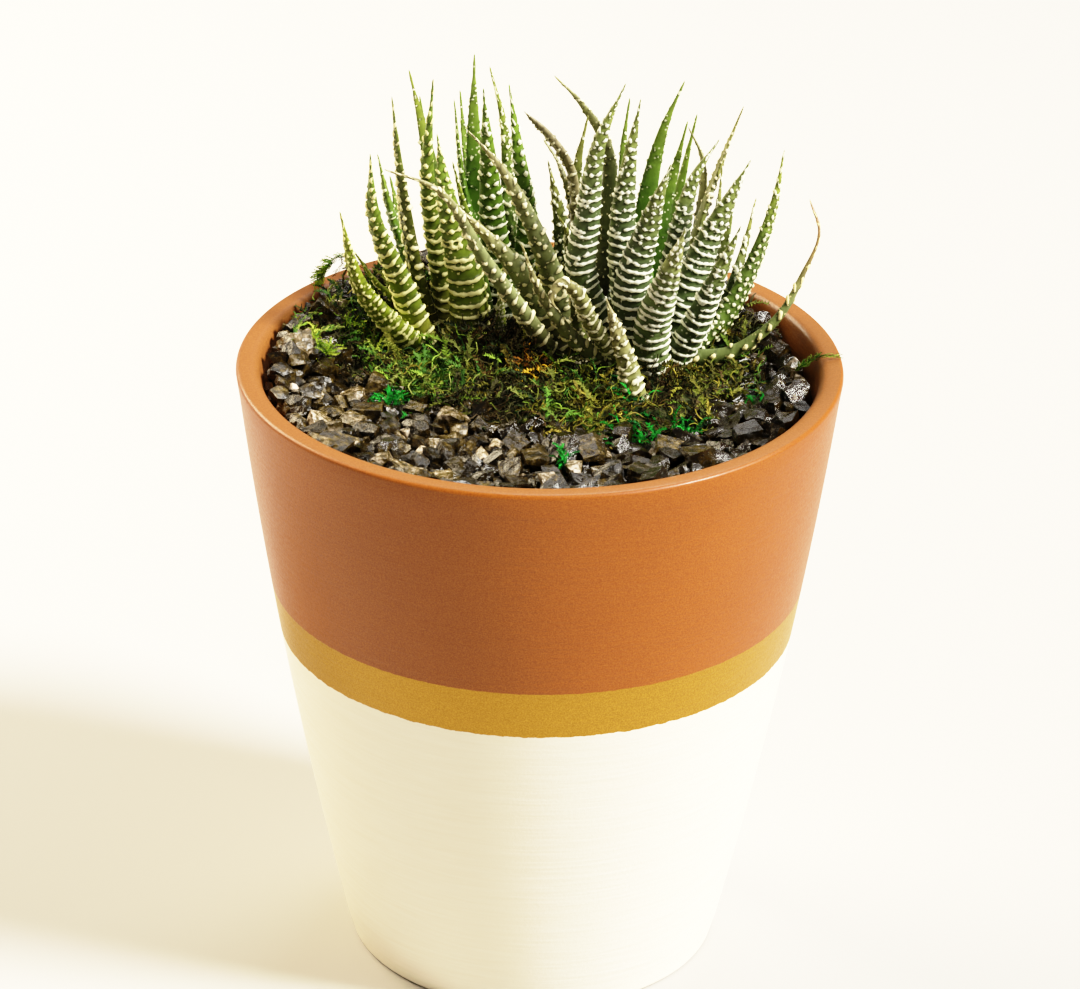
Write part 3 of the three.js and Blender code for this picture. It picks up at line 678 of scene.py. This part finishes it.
def leaf_bands(length, width, fullness, pitch, half, parting, breaks, rng):
    """The raised bands of one leaf: where each lies and how it wavers, breaks and parts into dots."""
    bands = []
    mark = pitch * rng.uniform(0.3, 0.8)
    bow = rng.uniform(0.1, 0.4)
    while mark < length:
        share = mark / length
        bands.append({
            "mark": mark,
            "half": half * (1 - 0.12 * share) * rng.uniform(0.85, 1.12),
            "tilt": rng.uniform(-0.1, 0.1) * pitch,
            "bow": (bow + rng.uniform(-0.05, 0.05)) * pitch,
            "waver": rng.uniform(0.05, 0.15) * mm,
            "turns": rng.uniform(3, 6),
            "phase": rng.uniform(0, 6.3),
            "break": rng.uniform(-0.6, 0.6) if rng.random() < breaks else None,
            "step": rng.choice((-0.32, 0.32)) * pitch,
            "parting": smooth_step(share, parting - 0.12, parting + 0.28),
            "beads": max(1, width * (1 - share ** fullness) / (bead_gap * pitch)) * rng.uniform(0.85, 1.15),
        })
        mark += pitch * (1 - 0.3 * share) * rng.uniform(0.88, 1.12)
    return bands


def band_depth(band, mark, across):
    """How deep a place lies inside a band, in metres: 0 at its edge, less than 0 outside."""
    line = band["mark"] + band["tilt"] * across + band["bow"] * across * across
    line += band["waver"] * math.sin(across * band["turns"] + band["phase"])
    half = band["half"] * (1 - 0.2 * across * across)
    bead = 0.5 + 0.5 * math.cos(across * band["beads"] * math.pi + band["phase"])
    half *= 0.72 + 0.45 * bead
    if band["break"] is not None:
        beyond = across - band["break"]
        line += band["step"] if beyond > 0 else 0
        half *= smooth_step(abs(beyond), 0.0, 0.16)
    half *= 1 - band["parting"] * (1.25 - 1.3 * bead)
    return half - abs(mark - line)


def leaf_dots(length, width, dots_per_cm2, rng):
    """Loose warts on the skin: their mark along the leaf, place across it, radius and face."""
    cm2_in_m2 = 1e4
    count = round(dots_per_cm2 * length * width * cm2_in_m2)
    return sorted((rng.uniform(0.1, 0.97) * length, rng.uniform(-0.85, 0.85), rng.uniform(0.18, 0.36) * mm,
                   rng.random() < 0.6) for _ in range(count))


def wart_depth(bands, starts, dots, mark, across, outer, half_width):
    """How deep a place on the skin lies inside a wart, in metres."""
    depth = -1 * mm
    here = bisect.bisect(starts, mark)
    for band in bands[max(0, here - bands_near):here + bands_near]:
        if outer:
            depth = max(depth, band_depth(band, mark, across))
        else:
            margin = 1 - abs(across)
            edge = band_depth(band, mark, math.copysign(1, across))
            depth = max(depth, edge - tooth_fall * max(0, margin - tooth_width))
    first = bisect.bisect(dots, (mark - dot_reach,))
    last = bisect.bisect(dots, (mark + dot_reach,))
    for dot_mark, dot_across, radius, dot_outer in dots[first:last]:
        if dot_outer == outer:
            away = math.hypot(mark - dot_mark, (across - dot_across) * half_width)
            depth = max(depth, radius - away)
    return depth


def add_leaf(tool, layers, centre, stem_radius, leaf, rng):
    """One leaf: a grid that is rolled into a closed pointed blade and raised where it has warts."""
    face, width, kind, *path = leaf
    *skins, wart, fullness, pitch, half, parting, breaks, dots_per_cm2 = leaf_kinds[kind]
    shaded_base_skin, middle_skin, tip_skin = (Vector(linear(code)[:3]) for code in skins)
    wart_colour = linear(wart)
    depth_layer, skin_layer, wart_layer = layers
    bearing = math.radians(face)
    outward = Vector((math.cos(bearing), math.sin(bearing), 0))
    root = Vector((*centre, 0)) + outward * stem_radius * 0.5
    root.z = leaf_root
    points, length = even_path([root, *(Vector(point) * mm for point in path)], station_gap)
    width = width * mm
    bands = leaf_bands(length, width, fullness, pitch * mm, half * mm, parting, breaks, rng)
    outer_sides = max(least_outer_sides, round(width / side_gap))
    leaf_sides = outer_sides + inner_sides
    starts = [band["mark"] for band in bands]
    dots = leaf_dots(length, width, dots_per_cm2, rng)
    brightness = rng.uniform(0.88, 1.12)
    last = len(points) - 1
    grid = bmesh.ops.create_grid(tool, x_segments=last, y_segments=leaf_sides, size=1)["verts"]
    for vertex in grid:
        station = round((vertex.co.x + 1) / 2 * last)
        side_step = round((vertex.co.y + 1) / 2 * leaf_sides)
        outer = side_step <= outer_sides
        if outer:
            angle = math.pi * side_step / outer_sides
        else:
            angle = math.pi * (1 + (side_step - outer_sides) / inner_sides)
        share = station / last
        along = (points[min(station + 1, last)] - points[max(station - 1, 0)]).normalized()
        back = (outward - along * outward.dot(along)).normalized()
        side = back.cross(along)
        breadth = width * (1 - share ** fullness)
        close = math.sqrt(1 - share ** tip_bluntness)
        half_width = max(breadth / 2 - 0.3 * wart_height, least_width) * close
        depth = max(breadth * (outer_depth if outer else inner_depth), least_depth) * close
        across, out = math.cos(angle), math.sin(angle)
        place = points[station] + side * half_width * across + back * depth * out
        inside = wart_depth(bands, starts, dots, share * length, across, outer, half_width)
        normal = side * across * depth + back * out * half_width
        fade = min(1, half_width / full_relief_width)
        if station < last and normal.length > 0:
            place += normal.normalized() * wart_height * fade * smooth_step(inside, wart_foot, wart_crown)
        vertex.co = place
        vertex[depth_layer] = inside / mm
        # Near the stem the skin takes the darker base colour, painted shade where the leaves crowd together
        skin = shaded_base_skin.lerp(middle_skin, smooth_step(share, 0.05, 0.35))
        skin = skin.lerp(tip_skin, smooth_step(share, 0.55, 0.95))
        vertex[skin_layer] = (*(skin * brightness), 1)
        vertex[wart_layer] = wart_colour
    bmesh.ops.remove_doubles(tool, verts=grid, dist=0.0005 * mm)


def close_up(tool):
    """Closes the open ends of a bmesh and turns its faces outward."""
    ends = [edge for edge in tool.edges if edge.is_boundary]
    bmesh.ops.holes_fill(tool, edges=ends, sides=0)
    bmesh.ops.recalc_face_normals(tool, faces=tool.faces)


# A living leaf's skin, smooth under a thin bloom of wax, so that it has a broad soft sheen. The warts
# are chalky white and duller, with painted shade darkening the skin along their feet, and pale flecks
# on the skin between them. Its pores are drawn at 0.4 mm, coarser than life.
waxy_skin, tree, shader = new_material("waxy_leaf_skin_with_white_warts")
place = add_node(tree, "TexCoord", output="Object")
wart_inside = add_node(tree, "Attribute", output="Fac", attribute_name="wart_depth")
skin_colour = add_node(tree, "Attribute", attribute_name="skin")
wart_colour = add_node(tree, "Attribute", attribute_name="wart")
flesh = add_node(tree, "TexNoise", {"Vector": place, "Scale": 0.55 / mm, "Detail": 4})
pores = add_node(tree, "TexNoise", {"Vector": place, "Scale": 2.4 / mm, "Detail": 3})
fleck = add_node(tree, "TexVoronoi", {"Vector": place, "Scale": 0.8 / mm})

ragged = add_node(tree, "Math", {0: pores, 1: 0.22, 2: wart_inside}, operation="MULTIPLY_ADD")
wart_share = add_node(tree, "MapRange", {
    "Value": ragged, "From Min": 0.05, "From Max": 0.2}, interpolation_type="SMOOTHSTEP")
# Painted shade: the skin darkens towards the foot of each wart, where the raised band would shade it
painted_wart_shade = add_node(tree, "MapRange", {
    "Value": wart_inside, "From Min": -0.5, "From Max": 0, "To Min": 1, "To Max": 0.45})
fleck_share = add_node(tree, "MapRange", {
    "Value": fleck, "From Min": 0.12, "From Max": 0.22, "To Min": 0.55, "To Max": 0})
mottle = add_node(tree, "MapRange", {
    "Value": flesh, "From Min": 0.3, "From Max": 0.7, "To Min": 0.75, "To Max": 1.2})
shading = add_node(tree, "Math", {0: painted_wart_shade, 1: mottle}, operation="MULTIPLY")
leaf_colour = add_node(tree, "VectorMath", {0: skin_colour, "Scale": shading}, operation="SCALE")
for share in (fleck_share, wart_share):
    leaf_colour = add_node(tree, "Mix", {
        0: share, 6: leaf_colour, 7: wart_colour}, **of_colours)
dullness = add_node(tree, "MapRange", {"Value": wart_share, "To Min": 0.42, "To Max": 0.6})
pore_bump = add_node(tree, "Bump", {"Height": pores, "Strength": 0.3, "Distance": 0.12 * mm})
set_inputs(shader, {
    "Base Color": leaf_colour, "Roughness": dullness, "Specular IOR Level": 0.35, "Normal": pore_bump})

stem_height = stem_top - stem_low
stem_sides = 24
stem_skin = linear("#5A5238")
wartless = -1
for number, (name, (centre, stem_radius, leaves)) in enumerate(rosettes.items()):
    rng = random.Random(100 + number)
    rosette_tool = bmesh.new()
    layers = (rosette_tool.verts.layers.float.new("wart_depth"),
              rosette_tool.verts.layers.float_color.new("skin"),
              rosette_tool.verts.layers.float_color.new("wart"))
    centre = Vector(centre) * mm
    stem_radius *= mm
    for leaf in leaves:
        add_leaf(rosette_tool, layers, centre, stem_radius, leaf, rng)
    stem = bmesh.ops.create_cone(
        rosette_tool, cap_ends=True, segments=stem_sides, radius1=stem_radius, radius2=stem_radius,
        depth=stem_height, matrix=Matrix.Translation((*centre, stem_low + stem_height / 2)))
    for vertex in stem["verts"]:
        vertex[layers[0]] = wartless
        vertex[layers[1]] = stem_skin
    close_up(rosette_tool)
    for face in rosette_tool.faces:
        face.smooth = True
    plant = new_object(name + "_leaves", rosette_tool, waxy_skin)
    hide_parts(name)
    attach(plant, "root")

# Moss. Dried sheet moss laid round the plants as a ragged mat: a dark felted base with feathery fronds
# and curled threads tangled over it, olive to brown, with patches dyed vivid green.
moss_base = gravel_top + 0.3 * mm
moss_height = 2.4 * mm
edge_share = 0.25
edge_fall = 1.6 * mm

# Heaps of moss: middle, spread and rise in mm
heaps = (
    (-14, 17, 5, 5), (-5, 11, 5, 4), (2, 4, 5, 2), (22, -5, 8, 2), (-38, 26, 6, 1.5), (-33, 36, 5, 3.5),
    (-22, 44, 7, 1.5), (-32, 8, 6, 2), (38, 21, 5, 4), (42, 12, 4, 2), (34, 2, 7, 1.5), (0, 44, 12, 1),
    (26, 38, 9, 1.5),
)


def on_mat(around, out):
    """A place on the mat: out is 0 at its middle and 1 at its ragged edge."""
    ray = Vector((math.cos(around), math.sin(around)))
    return moss_centre + ray * moss_reach(bearing_of(ray)) * out


def nearness(u, v, middle_u, middle_v, spread):
    """1 at the middle of a round patch, falling smoothly to 0 beyond its spread."""
    return math.exp(-((u - middle_u) ** 2 + (v - middle_v) ** 2) / (2 * spread ** 2))


def moss_surface(x, y):
    """Height of the mat's felt: lumpy, banked up with the gravel and heaped against some leaves."""
    u, v = x / mm, y / mm
    lumps = 1.0 * math.sin(0.57 * u + 1.3) * math.cos(0.53 * v - 0.6)
    lumps += 0.8 * math.sin(0.95 * u - 0.7 * v) * math.cos(1.05 * v + 0.35 * u)
    for heap_x, heap_y, spread, rise in heaps:
        lumps += rise * nearness(u, v, heap_x, heap_y, spread)
    fall = min(1, max(0, moss_share(x, y) - (1 - edge_share)) / edge_share)
    bank = bed_level(x, y) - bed_level(0, 0)
    return moss_base + moss_height + bank - edge_fall * fall + lumps * mm * (1 - 0.4 * fall)


def strand(spine, steps, radius, taper=1):
    """A thin three-sided strand along a spine. The taper makes it thinner at each of its steps."""
    tool = bmesh.new()
    ring = bmesh.ops.create_circle(tool, segments=3, radius=radius,
                                   matrix=rotation(0, math.pi / 2, 0))["verts"]
    bmesh.ops.translate(tool, vec=spine(0), verts=ring)
    edges = tool.edges[:]
    for step in range(steps):
        grown = bmesh.ops.extrude_edge_only(tool, edges=edges)["geom"]
        ring = [item for item in grown if isinstance(item, bmesh.types.BMVert)]
        edges = [item for item in grown if isinstance(item, bmesh.types.BMEdge)]
        bmesh.ops.translate(tool, vec=spine((step + 1) / steps) - spine(step / steps), verts=ring)
        if taper < 1:
            middle = sum((vertex.co for vertex in ring), Vector()) / len(ring)
            bmesh.ops.scale(tool, vec=(taper, taper, taper), verts=ring, space=Matrix.Translation(-middle))
    return tool


def frond(rng):
    """A feathery frond 1 long: an arched stem with pointed leaflets in two rows."""
    leaflets = 16
    sway, rise = rng.uniform(-0.35, 0.35), rng.uniform(0.1, 0.4)

    def spine(t):
        return Vector((t, sway * t * t, rise * math.sin(math.pi * t * 0.8)))

    tool = strand(spine, 4, 0.028, 0.8)
    for index in range(leaflets):
        share = 0.12 + 0.85 * index / leaflets
        flip = 1 if index % 2 else -1
        length = rng.uniform(0.14, 0.22) * (1.15 - 0.5 * share)
        turn = rotation(rng.uniform(-0.6, 0.6), math.pi / 2 - rng.uniform(0, 0.7),
                        flip * rng.uniform(0.6, 1.1))
        flat = Matrix.Diagonal((0.45, 1, 1, 1))
        lift = Matrix.Translation((0, 0, length / 2))
        bmesh.ops.create_cone(tool, cap_ends=True, segments=3, radius1=0.055, radius2=0, depth=length,
                              matrix=Matrix.Translation(spine(share)) @ turn @ flat @ lift)
    close_up(tool)
    return as_mesh("frond", tool)


def thread(rng):
    """A curled bare thread 1 long."""
    curl, swing = rng.uniform(2, 5), rng.uniform(0, 6.3)

    def spine(t):
        angle = curl * t * 2 + swing
        return Vector((t, 0.1 * math.sin(angle), 0.1 * math.cos(angle) + 0.1 * t))

    tool = strand(spine, 9, 0.022)
    close_up(tool)
    return as_mesh("thread", tool)


rng = random.Random(8)
frond_shape_count = 9
thread_shape_count = 7
frond_shapes = [frond(rng) for _ in range(frond_shape_count)]
thread_shapes = [thread(rng) for _ in range(thread_shape_count)]
olive = ("#6E6C24", "#585E1E", "#84782E", "#485018")
dark = ("#2E2C10", "#222C0C", "#3A3412", "#443416")
green = ("#466A20", "#68822A", "#305018", "#828A40")
emerald = ("#0C6A1C", "#168226", "#0A4E18")
bright = ("#7C942A", "#94A038", "#5C7E20")
rust = ("#A8781C", "#8A5A18", "#C09A2A")

# Patches of one colour, each with its middle and spread in mm
patches = (
    (emerald, -29, -5, 2.6), (emerald, 17, -6, 2.5), (emerald, 27, -18, 2.4), (emerald, 19, -18, 2),
    # The dark patch at -9, 13, among the leaf bases, is partly painted shade of the leaves over it
    (rust, -1, 5, 2.6), (olive, 12, -8, 6), (dark, -9, 13, 5), (dark, -2, -2, 3),
    (green, -36, 24, 7), (green, -18, 6, 5), (olive, 34, 4, 6), (green, -24, 0, 5),
)

moss_tool = bmesh.new()
tint_layer = moss_tool.verts.layers.float_color.new("tint")
felt_rings, felt_segments = 30, 160
felt_sink = 0.6 * mm
felt = bmesh.ops.create_grid(moss_tool, x_segments=felt_segments, y_segments=felt_rings, size=1)["verts"]
for vertex in felt:
    around = math.pi * vertex.co.x
    out = (vertex.co.y + 1) / 2
    flat = on_mat(around, out * (1 + 0.03 * math.sin(around * 17)))
    top = moss_surface(flat.x, flat.y) - felt_sink + rng.uniform(-0.3, 0.3) * mm * (out > 0)
    vertex.co = (flat.x, flat.y, top if out < 1 else moss_base)
    vertex[tint_layer] = linear(rng.choice(dark))
bmesh.ops.remove_doubles(moss_tool, verts=felt, dist=0.02 * mm)
close_up(moss_tool)


def strew(tool, layer, shapes, count, shortest, longest):
    """Scatters strands of moss over the mat, in drifts and patches of colour, with painted shade on the low
    strands and painted light on the high ones.
    """
    for _ in range(count):
        around = rng.uniform(0, math.tau)
        spot = on_mat(around, math.sqrt(rng.random()) * (1.06 if rng.random() < 0.2 else 0.97))
        u, v = spot.x / mm, spot.y / mm
        drift = math.sin(0.21 * u + 0.4) + math.sin(0.17 * v + 0.13 * u + 2) + rng.gauss(0, 0.8)
        family = dark if drift < -0.5 else olive if drift < 0.9 else green
        for colours, patch_x, patch_y, spread in patches:
            if rng.random() < 1.1 * nearness(u, v, patch_x, patch_y, spread):
                family = colours
        turn = rotation(rng.uniform(-0.9, 0.9), -rng.uniform(-0.15, 0.8), rng.uniform(0, math.tau))
        depth = rng.uniform(-1.8, 0.8)
        lift = Matrix.Translation((spot.x, spot.y, moss_surface(spot.x, spot.y) + depth * mm))
        size = Matrix.Scale(rng.uniform(shortest, longest), 4)
        # Strands low in the mat are darkened as painted shade, and the highest ones lightened as painted
        # light
        shade = Vector(linear(rng.choice(family))) * rng.uniform(0.7, 1.35) * (1 + 0.38 * depth)
        add_copy(tool, rng.choice(shapes), lift @ turn @ size, (layer,), (shade,))


frond_count = 1530
thread_count = 3400
strew(moss_tool, tint_layer, frond_shapes, frond_count, 3.5 * mm, 7 * mm)

# Small tufts that lie on the moss and on the stones: colours, middle and spread in mm, and fronds
tufts = (
    (emerald, -30, -6.5, 2.6, 44), (emerald, 5, -32, 1.8, 18), (emerald, 28.7, -19, 1.9, 14),
    (emerald, 42.6, -5.6, 1.5, 10), (emerald, 16.8, -6.5, 1.6, 10), (emerald, 12.5, -21, 1.7, 12),
    (emerald, 19, -19.5, 1.7, 12), (bright, -34, 14, 2, 20), (bright, -38.5, 19, 2.6, 22),
    (bright, -44, 7.5, 2, 16), (green, -35, 8, 2.4, 16), (green, -22, -1, 2.4, 12),
)
for colours, middle_x, middle_y, spread, count in tufts:
    for _ in range(count):
        x, y = rng.gauss(middle_x, spread * 0.6) * mm, rng.gauss(middle_y, spread * 0.6) * mm
        stones = heap.get((round(x / cell), round(y / cell)), 0)
        lift = Matrix.Translation((x, y, max(stones, moss_surface(x, y)) + rng.uniform(-0.4, 0.6) * mm))
        turn = rotation(rng.uniform(-0.9, 0.9), -rng.uniform(0, 0.9), rng.uniform(0, math.tau))
        shade = Vector(linear(rng.choice(colours))) * rng.uniform(0.7, 1.6)
        size = Matrix.Scale(rng.uniform(2.2, 4.2) * mm, 4)
        add_copy(moss_tool, rng.choice(frond_shapes), lift @ turn @ size, (tint_layer,), (shade,))

# Loose leafy wisps that arch over the rim or lie on the stones: the places in mm that each passes, the
# gap between its leaflets, how far they stand out, their first and last size, and the colours
wisps = (
    (((-33, 31, 125), (-35.5, 32, 132), (-38.5, 33, 134.2), (-41, 35, 133.7), (-42.6, 36, 132.1)),
     0.22, 0.12, 1.7, 1.7, green),
    (((-42.3, 36, 132.4), (-43.8, 36, 130.3), (-44.7, 36, 128.5), (-44.9, 36, 127.3)),
     0.07, 1.2, 2, 2.9, bright),
    (((-40.6, 35, 133.6), (-40.8, 36, 131.3), (-42.1, 36, 129.5)), 0.3, 0.2, 1.3, 1.3, dark),
    (((50.8, 6, 123), (55.5, 2, 128), (59.3, 3, 127.6)), 0.2, 0.5, 2.2, 1.1, green),
    (((-49.4, 5.5, 128), (-48.2, 11.7, 128.2), (-45, 17.7, 128)), 0.25, 0.6, 1.6, 2.2, green),
    (((-45.3, 8.5, 127.8), (-43.4, 11, 127.8), (-40.2, 15, 127)), 0.25, 0.5, 1.4, 2, green),
    (((-45.7, 9.5, 128.2), (-43.7, 7, 127.2), (-42.1, 7.1, 124.8)), 0.2, 0.9, 1.8, 2.4, bright),
)
for stops, gap, flare, first_size, last_size, colours in wisps:
    points = even_path([Vector(stop) * mm for stop in stops], gap * mm)[0]
    for step, (start, end) in enumerate(zip(points, points[1:])):
        turn = (end - start).to_track_quat("X", "Z").to_matrix().to_4x4()
        roll = rotation(rng.uniform(0, math.tau), -rng.uniform(0, flare), rng.uniform(-0.3, 0.3))
        size = (first_size + (last_size - first_size) * step / len(points)) * mm
        laid = Matrix.Translation(start) @ turn @ roll @ Matrix.Scale(size, 4)
        shade = Vector(linear(rng.choice(colours))) * rng.uniform(0.8, 1.9)
        add_copy(moss_tool, rng.choice(frond_shapes), laid, (tint_layer,), (shade,))

threads_tool = bmesh.new()
threads_layer = threads_tool.verts.layers.float_color.new("tint")
strew(threads_tool, threads_layer, thread_shapes, thread_count, 2.5 * mm, 6.5 * mm)

# Dead moss, dried and partly dyed: matt, with a fibre that scatters the light and weathers in patches
# of about 1 mm.
sheet_moss, tree, shader = new_material("dried_sheet_moss")
place = add_node(tree, "TexCoord", output="Object")
tint = add_node(tree, "Attribute", attribute_name="tint")
fibre = add_node(tree, "TexNoise", {"Vector": place, "Scale": 1.1 / mm, "Detail": 4})
weathering = add_node(tree, "MapRange", {
    "Value": fibre, "From Min": 0.3, "From Max": 0.7, "To Min": 0.55, "To Max": 1.35})
moss_colour = add_node(tree, "VectorMath", {0: tint, "Scale": weathering}, operation="SCALE")
fibre_bump = add_node(tree, "Bump", {"Height": fibre, "Strength": 0.6, "Distance": 0.3 * mm})
set_inputs(shader, {
    "Base Color": moss_colour, "Roughness": 0.75, "Specular IOR Level": 0.25, "Normal": fibre_bump})

moss = new_object("sheet_moss", moss_tool, sheet_moss)
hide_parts("moss")
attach(moss, "root")

moss_threads = new_object("moss_threads", threads_tool, sheet_moss)
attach(moss_threads, "root")
